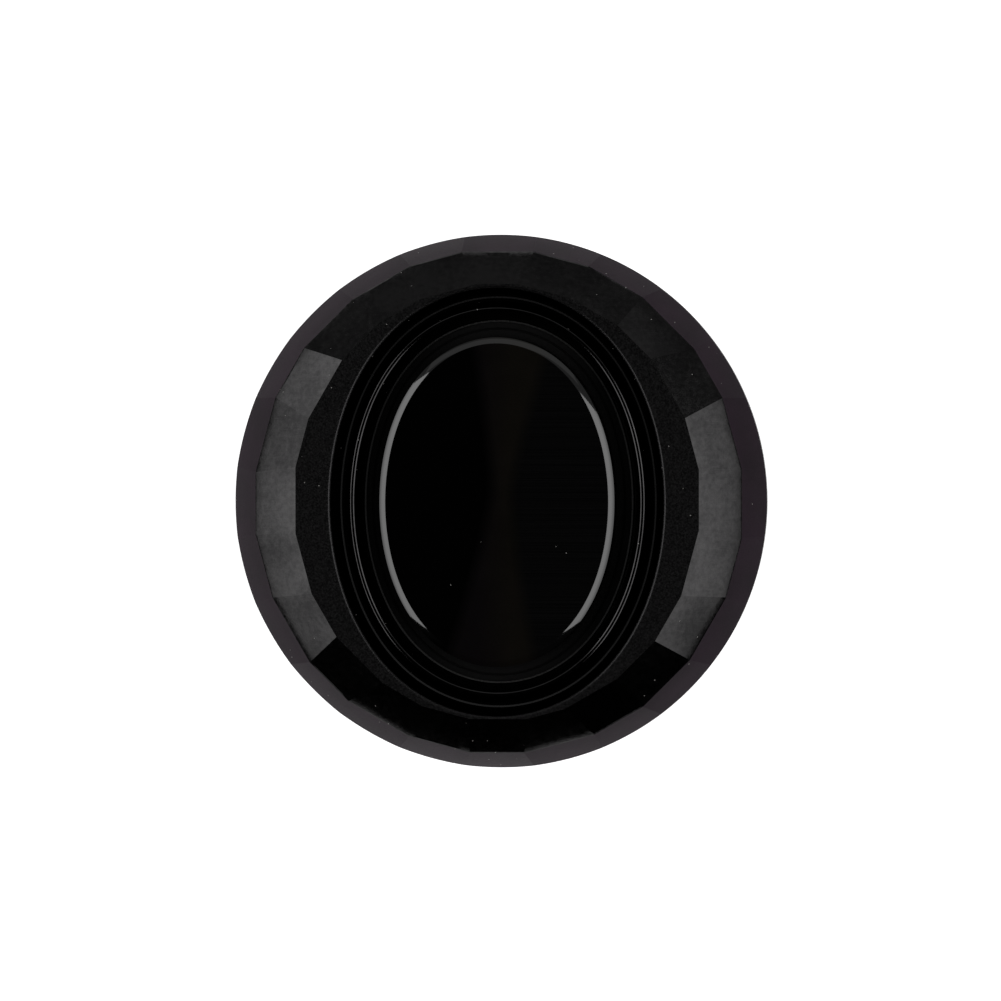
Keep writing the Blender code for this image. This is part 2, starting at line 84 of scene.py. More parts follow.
# Ovals: offsets from the core ellipse.
CORE_X = 3.90
CORE_Y = 7.58
FACE_OFFSET = 4.83
WINDOW_OFFSET = 5.30
SEAL_OFFSET = 6.70
CREST_OFFSET = 7.485
APERTURE_OFFSET = 8.46
MOUTH_OFFSET = 9.15
CREST_HALF = 0.085
CREST_CHAMFER = 0.075
CREST_Z = TOP_Z - 0.6
APERTURE_Z = TOP_Z - 2.0
SEAL_TOP_Z = TOP_Z - 2.75
COVER_UNDER_Z = TOP_Z - 2.5
BEZEL_LOW_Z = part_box("window_bezel")[0].z / MM
WINDOW_LOW_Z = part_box("window")[0].z / MM
SEAL_LOW_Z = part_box("window_seal")[0].z / MM

# Canister shoulder, and the hairline left at each closed seam.
SHOULDER_Z = 10.0
SEAM = 0.02

# Angle above which an edge stays sharp (degrees), and the halvings of each search.
CAP_SHARP = 5.0
OVAL_SHARP = 15.0
TURNED_SHARP = 30.0
HALVINGS = 40


# ---------------------------------------------------------------- node helpers
def new_material(name):
    material = bpy.data.materials.new(name)
    material.use_nodes = True
    tree = material.node_tree
    return material, tree, tree.nodes["Principled BSDF"]


def add_node(tree, kind, values=None, **settings):
    """A node with its settings, and its input sockets set to a value or linked to a socket."""
    node = tree.nodes.new(kind)
    for key, value in settings.items():
        setattr(node, key, value)
    for key, value in (values or {}).items():
        socket = node.inputs[key]
        if isinstance(value, bpy.types.NodeSocket):
            tree.links.new(value, socket)
        else:
            socket.default_value = value
    return node


def local_coordinates(tree, scale=(1.0, 1.0, 1.0), turn=(0.0, 0.0, 0.0)):
    """Object coordinates, stretched so that 1 in each direction is one texture unit."""
    source = tree.nodes.new("ShaderNodeTexCoord")
    mapping = add_node(tree, "ShaderNodeMapping", {
        "Vector": source.outputs["Object"],
        "Scale": scale,
        "Rotation": turn,
    })
    return mapping.outputs["Vector"]


def noise(tree, size_mm, detail=2.0, stretch=(1.0, 1.0, 1.0), turn=(0.0, 0.0, 0.0), rough=0.5):
    """Noise whose features are about size_mm across, longer where stretch is above 1."""
    scale = tuple(1.0 / (size_mm * MM * value) for value in stretch)
    texture = add_node(tree, "ShaderNodeTexNoise", {
        "Vector": local_coordinates(tree, scale, turn),
        "Scale": 1.0,
        "Detail": detail,
        "Roughness": rough,
    })
    return texture.outputs["Fac"]


def spread(tree, value, low, high, from_low=0.3, from_high=0.7):
    """Maps a 0..1 pattern onto a range of values."""
    remap = add_node(tree, "ShaderNodeMapRange", {
        "Value": value,
        "From Min": from_low,
        "From Max": from_high,
        "To Min": low,
        "To Max": high,
    })
    return remap.outputs["Result"]


def bump(tree, height, depth_mm, normal=None):
    values = {"Height": height, "Distance": depth_mm * MM, "Strength": 1.0}
    if normal is not None:
        values["Normal"] = normal
    return add_node(tree, "ShaderNodeBump", values).outputs["Normal"]


def dust(tree, spacing_mm=1.1, size_mm=0.045):
    """Sparse specks: 1 on a speck and 0 elsewhere."""
    cells = add_node(tree, "ShaderNodeTexVoronoi", {
        "Vector": local_coordinates(tree, (1.0 / (spacing_mm * MM),) * 3),
        "Scale": 1.0,
    })
    return math_node(tree, "LESS_THAN", cells.outputs["Distance"], size_mm / spacing_mm)


def math_node(tree, operation, first, second=0.0, third=0.0):
    """One arithmetic step on sockets or numbers."""
    values = {0: first, 1: second, 2: third}
    return add_node(tree, "ShaderNodeMath", values, operation=operation).outputs["Value"]


def blend(tree, factor, first, second):
    """Mixes two colours, each a socket or a tuple of three."""
    mix = tree.nodes.new("ShaderNodeMix")
    mix.data_type = "RGBA"
    tree.links.new(factor, mix.inputs["Factor"])
    for key, value in ((6, first), (7, second)):
        if isinstance(value, bpy.types.NodeSocket):
            tree.links.new(value, mix.inputs[key])
        else:
            mix.inputs[key].default_value = (*value, 1.0)
    return mix.outputs[2]


# ---------------------------------------------------------------- materials
DUST_COLOUR = (0.30, 0.29, 0.28)
GRAZING_TINT = (0.55, 0.55, 0.55, 1.0)   # holds back the black metal's sheen at a grazing angle

# Painted reflection in the window, a brown streak (mm): its waist's place, slant, half widths, half
# length and flare.
STREAK_X = 0.43
STREAK_Y = 0.95
STREAK_SLANT = 0.065
STREAK_WAIST = 0.7
STREAK_END = 3.1
STREAK_REACH = 12.5
STREAK_FLARE = 1.3


def anodised(name, colour, rough, grain_mm, grain_depth, index):
    """Black anodised aluminium: a dyed oxide skin with a fine grain and a little dust."""
    material, tree, shader = new_material(name)
    grain = noise(tree, grain_mm, 4.0)
    cloud = noise(tree, 3.5, 3.0)
    deep = tuple(value * 0.75 for value in colour)
    pale = tuple(value * 1.25 for value in colour)
    coloured = blend(tree, spread(tree, cloud, 0.0, 1.0), deep, pale)
    tree.links.new(blend(tree, dust(tree), coloured, DUST_COLOUR), shader.inputs["Base Color"])
    tree.links.new(spread(tree, grain, rough - 0.06, rough + 0.06), shader.inputs["Roughness"])
    tree.links.new(bump(tree, grain, grain_depth), shader.inputs["Normal"])
    shader.inputs["IOR"].default_value = index
    return material, tree, shader


def reflecting_skin(tree, shader, coloured):
    """Dense black oxide on metal: it only reflects, except where dust lies on it."""
    specks = dust(tree)
    tree.links.new(blend(tree, specks, coloured, DUST_COLOUR), shader.inputs["Base Color"])
    tree.links.new(math_node(tree, "SUBTRACT", 1.0, specks), shader.inputs["Metallic"])
    shader.inputs["Specular Tint"].default_value = GRAZING_TINT


def blasted_black():
    material, tree, shader = new_material("anodised_blasted")
    grain = noise(tree, 0.11, 4.0)
    coloured = blend(tree, spread(tree, grain, 0.0, 1.0, 0.35, 0.65), (0.022, 0.0215, 0.022),
                     (0.050, 0.049, 0.050))
    reflecting_skin(tree, shader, coloured)
    tree.links.new(spread(tree, grain, 0.30, 0.42), shader.inputs["Roughness"])
    tree.links.new(bump(tree, grain, 0.014), shader.inputs["Normal"])
    return material


def flank_black():
    """Steep flank: a mauve cast where the dye is thin, and a dull skin."""
    return anodised("anodised_flank", (0.0120, 0.0050, 0.0105), 0.34, 0.14, 0.006, 1.12)[0]


def satin_black():
    """Turned sides: fine rings from the lathe under a satin skin."""
    grain_mm, grain_depth = 0.16, 0.004
    material, tree, shader = anodised("anodised_satin", (0.0090, 0.0075, 0.0088), 0.34,
                                      grain_mm, grain_depth, 1.40)
    rings = noise(tree, 0.10, 2.0, (400.0, 400.0, 1.0))
    soft = bump(tree, noise(tree, grain_mm, 3.0), grain_depth)
    tree.links.new(bump(tree, rings, 0.003, soft), shader.inputs["Normal"])
    return material


def polished_black():
    """Ground flats: mottled by the lapping cloth, with hair scratches in two directions."""
    material, tree, shader = new_material("anodised_polished")
    smear = noise(tree, 0.42, 5.0, rough=0.62)
    cloud = noise(tree, 4.5, 1.0)
    uneven = math_node(tree, "MULTIPLY_ADD", cloud, 0.5, math_node(tree, "MULTIPLY", smear, 0.5))
    coloured = blend(tree, spread(tree, uneven, 0.0, 1.0, 0.39, 0.61), (0.0280, 0.0275, 0.0280),
                     (0.0490, 0.0480, 0.0485))
    scratch_a = noise(tree, 0.05, 2.0, (30.0, 1.0, 30.0), (0.0, 0.0, 0.5))
    scratch_b = noise(tree, 0.06, 2.0, (26.0, 1.0, 26.0), (0.0, 0.0, -0.9))
    scratch = math_node(tree, "MAXIMUM", scratch_a, scratch_b)
    lined = blend(tree, spread(tree, scratch, 0.0, 0.5, 0.64, 0.78), coloured,
                  (0.066, 0.065, 0.065))
    reflecting_skin(tree, shader, lined)
    tree.links.new(spread(tree, smear, 0.09, 0.15), shader.inputs["Roughness"])
    mottle = bump(tree, smear, 0.006)
    tree.links.new(bump(tree, scratch, 0.0010, mottle), shader.inputs["Normal"])
    return material


def worn_edge():
    """Thin lips where the black skin is rubbed smooth."""
    material, tree, shader = new_material("anodised_worn")
    grain = noise(tree, 0.12, 4.0)
    coloured = blend(tree, spread(tree, grain, 0.0, 1.0), (0.006, 0.006, 0.006),
                     (0.014, 0.013, 0.013))
    tree.links.new(coloured, shader.inputs["Base Color"])
    tree.links.new(spread(tree, grain, 0.24, 0.34), shader.inputs["Roughness"])
    tree.links.new(bump(tree, grain, 0.003), shader.inputs["Normal"])
    shader.inputs["IOR"].default_value = 1.80
    return material


def reflection_streak_mask(tree, x, y):
    """Mask of the painted reflection streak: 1 inside a slanting upright band that widens from its
    waist to both ends of the window.
    """
    above = math_node(tree, "SUBTRACT", y, STREAK_Y)
    middle = math_node(tree, "MULTIPLY_ADD", above, STREAK_SLANT, STREAK_X)
    across = math_node(tree, "ABSOLUTE", math_node(tree, "SUBTRACT", x, middle))
    along = math_node(tree, "DIVIDE", math_node(tree, "ABSOLUTE", above), STREAK_REACH)
    flare = math_node(tree, "POWER", along, STREAK_FLARE)
    half = math_node(tree, "MULTIPLY_ADD", flare, STREAK_END - STREAK_WAIST, STREAK_WAIST)
    return spread(tree, math_node(tree, "SUBTRACT", half, across), 0.0, 1.0, -0.6, 0.5)


def black_glass():
    """Infrared-pass window: nearly black, with a painted brown reflection streak, and the level
    lines of its polish, painted lighter as a painted sheen towards +X.
    """
    material, tree, shader = new_material("window_glass")
    place_mm = local_coordinates(tree, (1.0 / MM,) * 3)
    parts = add_node(tree, "ShaderNodeSeparateXYZ", {"Vector": place_mm})
    x, y = parts.outputs["X"], parts.outputs["Y"]
    lines = noise(tree, 0.07, 2.0, (400.0, 1.0, 1.0))
    smear = noise(tree, 4.0, 3.0)
    # Level lines of the polish: the lines are real, their lighter colour is a painted sheen, shown
    # towards +X and fading to near black towards -X.
    lined = blend(tree, spread(tree, lines, 0.0, 1.0), (0.0010, 0.0010, 0.0011),
                  (0.0042, 0.0041, 0.0042))
    clear = blend(tree, spread(tree, x, 0.0, 1.0, -0.5, 2.0), (0.0002, 0.0002, 0.0002), lined)
    # Painted reflection: the streak's colour, mauve towards -X and brown towards +X, mottled by the
    # smear noise.
    brown = blend(tree, spread(tree, smear, 0.0, 1.0), (0.0048, 0.0042, 0.0031),
                  (0.0070, 0.0059, 0.0046))
    mauve = blend(tree, spread(tree, smear, 0.0, 1.0), (0.0034, 0.0026, 0.0031),
                  (0.0052, 0.0042, 0.0046))
    painted_streak_colour = blend(tree, spread(tree, x, 0.0, 1.0, -1.5, 1.0), mauve, brown)
    coloured = blend(tree, reflection_streak_mask(tree, x, y), clear, painted_streak_colour)
    tree.links.new(blend(tree, dust(tree, 1.9), coloured, DUST_COLOUR), shader.inputs["Base Color"])
    tree.links.new(spread(tree, smear, 0.04, 0.07), shader.inputs["Roughness"])
    tree.links.new(bump(tree, lines, 0.0003), shader.inputs["Normal"])
    shader.inputs["IOR"].default_value = 1.72
    return material


def rubber():
    material, tree, shader = new_material("rubber_black")
    grain = noise(tree, 0.09, 4.0)
    coloured = blend(tree, spread(tree, grain, 0.0, 1.0), (0.0012, 0.0011, 0.0011),
                     (0.0040, 0.0038, 0.0038))
    tree.links.new(coloured, shader.inputs["Base Color"])
    tree.links.new(spread(tree, grain, 0.55, 0.75), shader.inputs["Roughness"])
    tree.links.new(bump(tree, grain, 0.012), shader.inputs["Normal"])
    shader.inputs["IOR"].default_value = 1.30
    return material


def rubber_painted_lip():
    """The seal's outer lip: rubber painted paler grey, a painted highlight along the lip."""
    material, tree, shader = new_material("rubber_painted_highlight")
    grain = noise(tree, 0.13, 4.0)
    coloured = blend(tree, spread(tree, grain, 0.0, 1.0), (0.004, 0.004, 0.004),
                     (0.035, 0.034, 0.033))
    tree.links.new(coloured, shader.inputs["Base Color"])
    tree.links.new(spread(tree, grain, 0.22, 0.45), shader.inputs["Roughness"])
    tree.links.new(bump(tree, grain, 0.006), shader.inputs["Normal"])
    shader.inputs["IOR"].default_value = 1.80
    return material


def plastic(name, dark, light, rough):
    material, tree, shader = new_material(name)
    flow = noise(tree, 1.4, 4.0)
    coloured = blend(tree, spread(tree, flow, 0.0, 1.0), dark, light)
    tree.links.new(coloured, shader.inputs["Base Color"])
    rings = noise(tree, 0.12, 2.0, (300.0, 300.0, 1.0))
    tree.links.new(spread(tree, rings, rough - 0.08, rough + 0.08), shader.inputs["Roughness"])
    tree.links.new(bump(tree, rings, 0.003), shader.inputs["Normal"])
    return material


def metal(name, dark, light, rough):
    """Bare turned metal with fine rings and a little tarnish."""
    material, tree, shader = new_material(name)
    tarnish = noise(tree, 1.1, 4.0)
    coloured = blend(tree, spread(tree, tarnish, 0.0, 1.0), dark, light)
    tree.links.new(coloured, shader.inputs["Base Color"])
    rings = noise(tree, 0.07, 2.0, (1.0, 1.0, 200.0))
    tree.links.new(spread(tree, rings, rough - 0.07, rough + 0.10), shader.inputs["Roughness"])
    tree.links.new(bump(tree, rings, 0.002), shader.inputs["Normal"])
    shader.inputs["Metallic"].default_value = 1.0
    return material


def optical_glass():
    material, tree, shader = new_material("optical_glass")
    haze = noise(tree, 2.0, 3.0)
    coloured = blend(tree, spread(tree, haze, 0.0, 1.0), (0.82, 0.90, 0.92), (0.90, 0.96, 0.97))
    tree.links.new(coloured, shader.inputs["Base Color"])
    tree.links.new(spread(tree, haze, 0.01, 0.04), shader.inputs["Roughness"])
    shader.inputs["Transmission Weight"].default_value = 1.0
    shader.inputs["IOR"].default_value = 1.517
    return material


BLASTED = blasted_black()
FLANK = flank_black()
SATIN = satin_black()
WORN = worn_edge()
POLISHED = polished_black()
WINDOW_GLASS = black_glass()
RUBBER = rubber()
PAINTED_LIP_RUBBER = rubber_painted_lip()
ACETAL = plastic("acetal_white", (0.62, 0.61, 0.57), (0.74, 0.73, 0.69), 0.42)
NYLON = plastic("nylon_grey", (0.085, 0.085, 0.09), (0.12, 0.12, 0.125), 0.55)
STEEL = metal("steel_bright", (0.46, 0.46, 0.47), (0.60, 0.60, 0.61), 0.28)
BRASS = metal("brass_turned", (0.60, 0.42, 0.17), (0.76, 0.56, 0.26), 0.30)
OPTICAL_GLASS = optical_glass()

SLOT_MATERIALS = {
    "black_anodised": SATIN,
    "black_glass": WINDOW_GLASS,
    "black_rubber": RUBBER,
    "white_acetal": ACETAL,
    "grey_nylon": NYLON,
    "optical_glass": OPTICAL_GLASS,
    "steel": STEEL,
    "brass": BRASS,
}


def paint_cad_nodes():
    for subpart in frame["record"]["subparts"]:
        mesh = frame["nodes"][subpart["node"]].data
        mesh.materials.clear()
        mesh.materials.append(SLOT_MATERIALS[subpart["material_slot"]])


# ---------------------------------------------------------------- rings and skins
def level_angles():
    return [2.0 * math.pi * step / COLUMNS for step in range(COLUMNS)]


def circle(radius, z):
    return [Vector((radius * math.cos(a), radius * math.sin(a), z)) for a in level_angles()]


def oval_point(offset, turn):
    """Point of the parallel curve whose core ellipse parameter is turn."""
    core = Vector((CORE_X * math.cos(turn), CORE_Y * math.sin(turn), 0.0))
    normal = Vector((CORE_Y * math.cos(turn), CORE_X * math.sin(turn), 0.0)).normalized()
    return core + normal * offset


def oval(offset, z):
    return [oval_point(offset, turn) + Vector((0.0, 0.0, z)) for turn in level_angles()]


def oval_towards(offset, z, angle):
    """Point of the oval that lies in a given direction from the centre."""
    search = 0.7
    low, high = angle - search, angle + search
    for _ in range(HALVINGS):
        middle = (low + high) / 2.0
        point = oval_point(offset, middle)
        aside = point.y * math.cos(angle) - point.x * math.sin(angle)
        if aside < 0.0:
            low = middle
        else:
            high = middle
    return oval_point(offset, (low + high) / 2.0) + Vector((0.0, 0.0, z))


def skin(name, rings, materials, body, node, zones=None, capped=False):
    """A solid from rings of equal count, listed down its outer side; it stands for a CAD node.

    zones gives the material index of each band between two rings. A capped solid has faces over
    its first and last rings; any other has a band that joins them.
    """
    bm = bmesh.new()
    loops = [[bm.verts.new(point * MM) for point in ring] for ring in rings]
    bands = list(zip(loops, loops[1:]))
    if not capped:
        bands.append((loops[-1], loops[0]))
    count = len(rings[0])
    for index, (upper, lower) in enumerate(bands):
        for step in range(count):
            after = (step + 1) % count
            face = bm.faces.new((upper[step], lower[step], lower[after], upper[after]))
            face.smooth = True
            face.material_index = zones[index] if zones else 0
    if capped:
        top = bm.faces.new(loops[0])
        bottom = bm.faces.new(list(reversed(loops[-1])))
        top.smooth = bottom.smooth = True
    bmesh.ops.recalc_face_normals(bm, faces=bm.faces)
    mesh = bpy.data.meshes.new(name)
    bm.to_mesh(mesh)
    bm.free()
    for material in materials:
        mesh.materials.append(material)
    obj = bpy.data.objects.new(name, mesh)
    bpy.context.scene.collection.objects.link(obj)
    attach(obj, body)
    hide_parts(node)
    return obj


def sharpen(obj, degrees):
    obj.data.set_sharp_from_angle(angle=math.radians(degrees))


def arc(centre, radius, start, end, steps):
    """Points (offset, z) on a round edge; angles in degrees, 0 outward and 90 up."""
    points = []
    for step in range(steps + 1):
        angle = math.radians(start + (end - start) * step / steps)
        points.append((centre[0] + radius * math.cos(angle), centre[1] + radius * math.sin(angle)))
    return points


def crowned_chamfer(offset, z, width, side, steps, least=20.0, most=40.0):
    """Profile of a slightly round chamfer that leaves a flat top.

    side is 1 outward or -1 inward; its slope goes from least to most, in degrees.
    """
    low, high = math.radians(least), math.radians(most)
    radius = width / (math.sin(high) - math.sin(low))
    points = []
    for step in range(steps + 1):
        tilt = low + (high - low) * step / steps
        aside = radius * (math.sin(tilt) - math.sin(low))
        points.append((offset + side * aside, z - radius * (math.cos(low) - math.cos(tilt))))
    return points


# ---------------------------------------------------------------- cap
def apothem(polygon, index):
    """Reach of a flat's edge; hand grinding leaves the flats a little unequal."""
    along_x, along_y, unequal = polygon
    share = math.sin(facet_angle(index)) ** 2
    return along_x + (along_y - along_x) * share + unequal * math.sin(FLAT_WAVE * index)


def facet_angle(index):
    return 2.0 * math.pi * index / FACETS


def corner(polygon, index, z):
    """Where flats index and index + 1 meet, at the height of the polygon."""
    first, second = facet_angle(index), facet_angle(index + 1)
    reach_first, reach_second = apothem(polygon, index), apothem(polygon, index + 1)
    across = math.sin(second - first)
    x = (reach_first * math.sin(second) - reach_second * math.sin(first)) / across
    y = (reach_second * math.cos(first) - reach_first * math.cos(second)) / across
    return Vector((x, y, z))


def flank_height(index, angle):
    """Height at which the steep flat of a facet runs out on the round rim."""
    reach = apothem(BEVEL, index)
    steepness = (RIM_DEPTH - BEVEL_DEPTH) / (RIM_RADIUS - reach)
    along = RIM_RADIUS * math.cos(angle - facet_angle(index))
    return TOP_Z - BEVEL_DEPTH - (along - reach) * steepness


def ridge_angle(index):
    """Direction in which the edge between two steep flats reaches the round rim."""
    low, high = facet_angle(index), facet_angle(index + 1)
    for _ in range(HALVINGS):
        middle = (low + high) / 2.0
        if flank_height(index, middle) < flank_height(index + 1, middle):
            low = middle
        else:
            high = middle
    return (low + high) / 2.0


def flat_patch(upper, lower, rows, crown, outward):
    """Rows of points between two edges of a flat, raised by the crown at mid-slope."""
    patch = []
    for row in range(rows + 1):
        share = row / rows
        lift = outward * (crown * 4.0 * share * (1.0 - share))
        patch.append([high.lerp(low, share) + lift for high, low in zip(upper, lower)])
    return patch


def cap_flats():
    """Rings of the bevel and of the steep flank, as whole rings of COLUMNS points."""
    bevel = [[] for _ in range(BEVEL_ROWS + 1)]
    flank = [[] for _ in range(FLANK_ROWS + 1)]
    bevel_z = TOP_Z - BEVEL_DEPTH
    for index in range(FACETS):
        angle = facet_angle(index)
        shares = [step / STEPS_PER_FACET for step in range(STEPS_PER_FACET)]
        table_ends = corner(TABLE, index - 1, TOP_Z), corner(TABLE, index, TOP_Z)
        bevel_ends = corner(BEVEL, index - 1, bevel_z), corner(BEVEL, index, bevel_z)
        rim_low, rim_high = ridge_angle(index - 1), ridge_angle(index)
        table_edge = [table_ends[0].lerp(table_ends[1], share) for share in shares]
        bevel_edge = [bevel_ends[0].lerp(bevel_ends[1], share) for share in shares]
        rim_edge = []
        for share in shares:
            turn = rim_low + (rim_high - rim_low) * share
            x, y = RIM_RADIUS * math.cos(turn), RIM_RADIUS * math.sin(turn)
            rim_edge.append(Vector((x, y, flank_height(index, turn))))
        plan = Vector((math.cos(angle), math.sin(angle), 0.0))
        bevel_run = apothem(BEVEL, index) - apothem(TABLE, index)
        bevel_out = (plan * BEVEL_DEPTH + Vector((0.0, 0.0, bevel_run))).normalized()
        flank_run = RIM_RADIUS - apothem(BEVEL, index)
        flank_out = (plan * (RIM_DEPTH - BEVEL_DEPTH) + Vector((0.0, 0.0, flank_run))).normalized()
        stop = [edge.lerp(high, EDGE_ABOVE) for edge, high in zip(bevel_edge, table_edge)]
        start = [edge.lerp(low, EDGE_BELOW) for edge, low in zip(bevel_edge, rim_edge)]
        upper = flat_patch(table_edge, stop, BEVEL_ROWS, BEVEL_CROWN, bevel_out)
        lower = flat_patch(start, rim_edge, FLANK_ROWS, FLANK_CROWN, flank_out)
        for ring, points in zip(bevel + flank, upper + lower):
            ring.extend(points)
    return bevel, flank


def knurled(radius, z, angles, depth):
    """A ring with straight grip grooves, as wide as the ridges between them."""
    ridge_points = 2
    ring = []
    for step, angle in enumerate(angles):
        in_groove = step % (2 * ridge_points) >= ridge_points
        reach = radius - (depth if in_groove else 0.0)
        ring.append(Vector((reach * math.cos(angle), reach * math.sin(angle), z)))
    return ring


def skirt_profile():
    """Radius, height and knurl depth of each ring below the flats, outside and then inside."""
    land_z = TOP_Z - RIM_DEPTH - RIM_LAND
    waist_z = land_z - (RIM_RADIUS - BODY_RADIUS)
    knurl_high, knurl_low = waist_z - 2.2, SKIRT_Z + 2.6
    knurl_depth, run_out, edge = 0.30, 0.40, 0.5
    thread_land, thread_bore = 18.15, 17.85
    return [
        (RIM_RADIUS, land_z, 0.0),
        (BODY_RADIUS, waist_z, 0.0),
        (BODY_RADIUS, knurl_high, 0.0),
        (BODY_RADIUS, knurl_high - run_out, knurl_depth),
        (BODY_RADIUS, knurl_low + run_out, knurl_depth),
        (BODY_RADIUS, knurl_low, 0.0),
        (BODY_RADIUS, SKIRT_Z + edge, 0.0),
        (BODY_RADIUS - edge, SKIRT_Z, 0.0),
        (thread_land, SKIRT_Z, 0.0),
        (thread_land, SKIRT_Z + 4.0, 0.0),
        (thread_bore, SKIRT_Z + 4.3, 0.0),
        (thread_bore, COVER_UNDER_Z, 0.0),
    ]


def mouth_rings(table_edge):
    """The recess wall, its lower lip, and the round mouth, which stays inside the table's edge."""
    angles = [math.atan2(point.y, point.x) for point in table_edge]
    slope = (MOUTH_OFFSET - APERTURE_OFFSET) / (TOP_Z - APERTURE_Z)
    lean = math.degrees(math.atan(slope))
    wall = [
        (APERTURE_OFFSET - LIP / 2.0, COVER_UNDER_Z),
        (APERTURE_OFFSET - LIP / 2.0, APERTURE_Z),
        (APERTURE_OFFSET + LIP / 2.0, APERTURE_Z + LIP * LIP_SLOPE),
    ]
    centre = MOUTH_OFFSET + MOUTH_ROUND * math.cos(math.radians(lean)), TOP_Z - MOUTH_ROUND
    wall += reversed(arc(centre, MOUTH_ROUND, 90.0, 180.0 + lean, MOUTH_STEPS))
    rings = []
    for offset, z in wall:
        ring = []
        for angle, edge in zip(angles, table_edge):
            point = oval_towards(offset, z, angle)
            reach = edge.xy.length * MOUTH_REACH
            if point.xy.length > reach:
                point.xy = point.xy.normalized() * reach
            ring.append(point)
        rings.append(ring)
    return rings


def make_cap():
    bevel, flank = cap_flats()
    angles = [math.atan2(point.y, point.x) for point in flank[-1]]
    skirt = [knurled(radius, z, angles, depth) for radius, z, depth in skirt_profile()]
    mouth = mouth_rings(bevel[0])
    rings = bevel + flank + skirt + mouth
    blasted, polished, edge, satin, worn = range(5)
    zones = [polished] * len(bevel) + [edge] * (len(flank) - 1) + [satin] * (len(skirt) + 2)
    zones += [worn, polished]
    zones += [blasted] * (len(rings) - len(zones))
    cap = skin("cap_shell", rings, [BLASTED, POLISHED, FLANK, SATIN, WORN], "front_cap",
               "front_cover", zones)
    sharpen(cap, CAP_SHARP)


# ---------------------------------------------------------------- window and its ring
def make_window():
    flange_offset = 7.6
    flange_z = WINDOW_LOW_Z + 1.1
    profile = crowned_chamfer(FACE_OFFSET, TOP_Z, WINDOW_OFFSET - FACE_OFFSET, 1.0,
                              steps=6, least=22.0, most=36.0)
    profile += [(WINDOW_OFFSET, flange_z), (flange_offset, flange_z), (flange_offset, WINDOW_LOW_Z)]
    rings = [oval(offset, z) for offset, z in profile]
    window = skin("window_glass_body", rings, [WINDOW_GLASS], "front_cap", "window",
                  capped=True)
    sharpen(window, OVAL_SHARP)


def make_bezel():
    """The sharp oval ridge: a narrow flat crest between two bright chamfers."""
    foot = APERTURE_OFFSET - LIP / 2.0 - 0.01
    flange_offset = 9.6
    flange_z = BEZEL_LOW_Z + 0.9
    steps = 3
    inside = crowned_chamfer(CREST_OFFSET - CREST_HALF, CREST_Z, CREST_CHAMFER, -1.0, steps)
    profile = list(reversed(inside))
    profile += crowned_chamfer(CREST_OFFSET + CREST_HALF, CREST_Z, CREST_CHAMFER, 1.0, steps)
    profile += [
        (foot - 0.08, APERTURE_Z + 0.05),
        (foot, APERTURE_Z),
        (foot, flange_z),
        (flange_offset, flange_z),
        (flange_offset, BEZEL_LOW_Z),
        (SEAL_OFFSET, BEZEL_LOW_Z),
        (SEAL_OFFSET, SEAL_TOP_Z),
        (SEAL_OFFSET + 0.05, SEAL_TOP_Z + 0.05),
    ]
    rings = [oval(offset, z) for offset, z in profile]
    bezel = skin("bezel_ridge", rings, [POLISHED], "front_cap", "window_bezel")
    sharpen(bezel, OVAL_SHARP)


def make_seal():
    clearance, rib = 0.03, 0.10
    low = WINDOW_OFFSET + clearance
    high = SEAL_OFFSET - clearance
    middle = (low + high) / 2.0
    lip_band = 6
    profile = [
        (low, SEAL_TOP_Z - 0.20),
        (low + rib, SEAL_TOP_Z - 0.16),
        (middle - rib, SEAL_TOP_Z - 0.14),
        (middle, SEAL_TOP_Z - 0.06),
        (middle + rib, SEAL_TOP_Z - 0.14),
        (high - LIP - 0.06, SEAL_TOP_Z - 0.14),
        (high - LIP, SEAL_TOP_Z - 0.01 - LIP * LIP_SLOPE),
        (high, SEAL_TOP_Z - 0.01),
        (high, SEAL_LOW_Z),
        (low, SEAL_LOW_Z),
    ]
    zones = [0] * len(profile)
    # The outer lip band gets the paler rubber with the painted highlight.
    zones[lip_band] = 1
    rings = [oval(offset, z) for offset, z in profile]
    seal = skin("seal_ring", rings, [RUBBER, PAINTED_LIP_RUBBER], "front_cap", "window_seal",
                zones)
    sharpen(seal, TURNED_SHARP)


# ---------------------------------------------------------------- canister and back
def make_canister():
    flat_distance = 18.4
    flat_low, flat_high, flat_step = 4.8, 9.2, 0.02

    def with_flats(z):
        ring = circle(BODY_RADIUS, z)
        for point in ring:
            point.y = max(-flat_distance, min(flat_distance, point.y))
        return ring

    edge = 0.25
    bore, lead, neck = 14.6, 17.1, 17.5
    lead_low, neck_high = 19.3, 18.9
    groove_low, groove_high, groove_floor = 12.3, 13.9, 16.2
    rings = [
        circle(lead, CANISTER_HIGH.z),
        circle(lead, lead_low),
        circle(neck, neck_high),
        circle(neck, groove_high),
        circle(groove_floor, groove_high),
        circle(groove_floor, groove_low),
        circle(neck, groove_low),
        circle(neck, SHOULDER_Z),
        circle(BODY_RADIUS - edge, SHOULDER_Z),
        circle(BODY_RADIUS, SHOULDER_Z - edge),
        circle(BODY_RADIUS, flat_high),
        with_flats(flat_high - flat_step),
        with_flats(flat_low + flat_step),
        circle(BODY_RADIUS, flat_low),
        circle(BODY_RADIUS, CANISTER_LOW.z + edge),
        circle(BODY_RADIUS - edge, CANISTER_LOW.z),
        circle(bore, CANISTER_LOW.z),
        circle(bore, CANISTER_HIGH.z),
    ]
    canister = skin("canister_tube", rings, [SATIN], "canister_body", "canister")
    sharpen(canister, TURNED_SHARP)


def make_o_ring():
    low, high = (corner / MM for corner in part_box("cap_o_ring"))
    wire = 0.6
    centre = high.x - wire
    middle_z = (low.z + high.z) / 2.0
    profile = arc((centre, middle_z), wire, 90.0, -270.0, steps=16)[:-1]
    rings = [circle(radius, z) for radius, z in profile]
    skin("o_ring", rings, [RUBBER], "canister_body", "cap_o_ring")


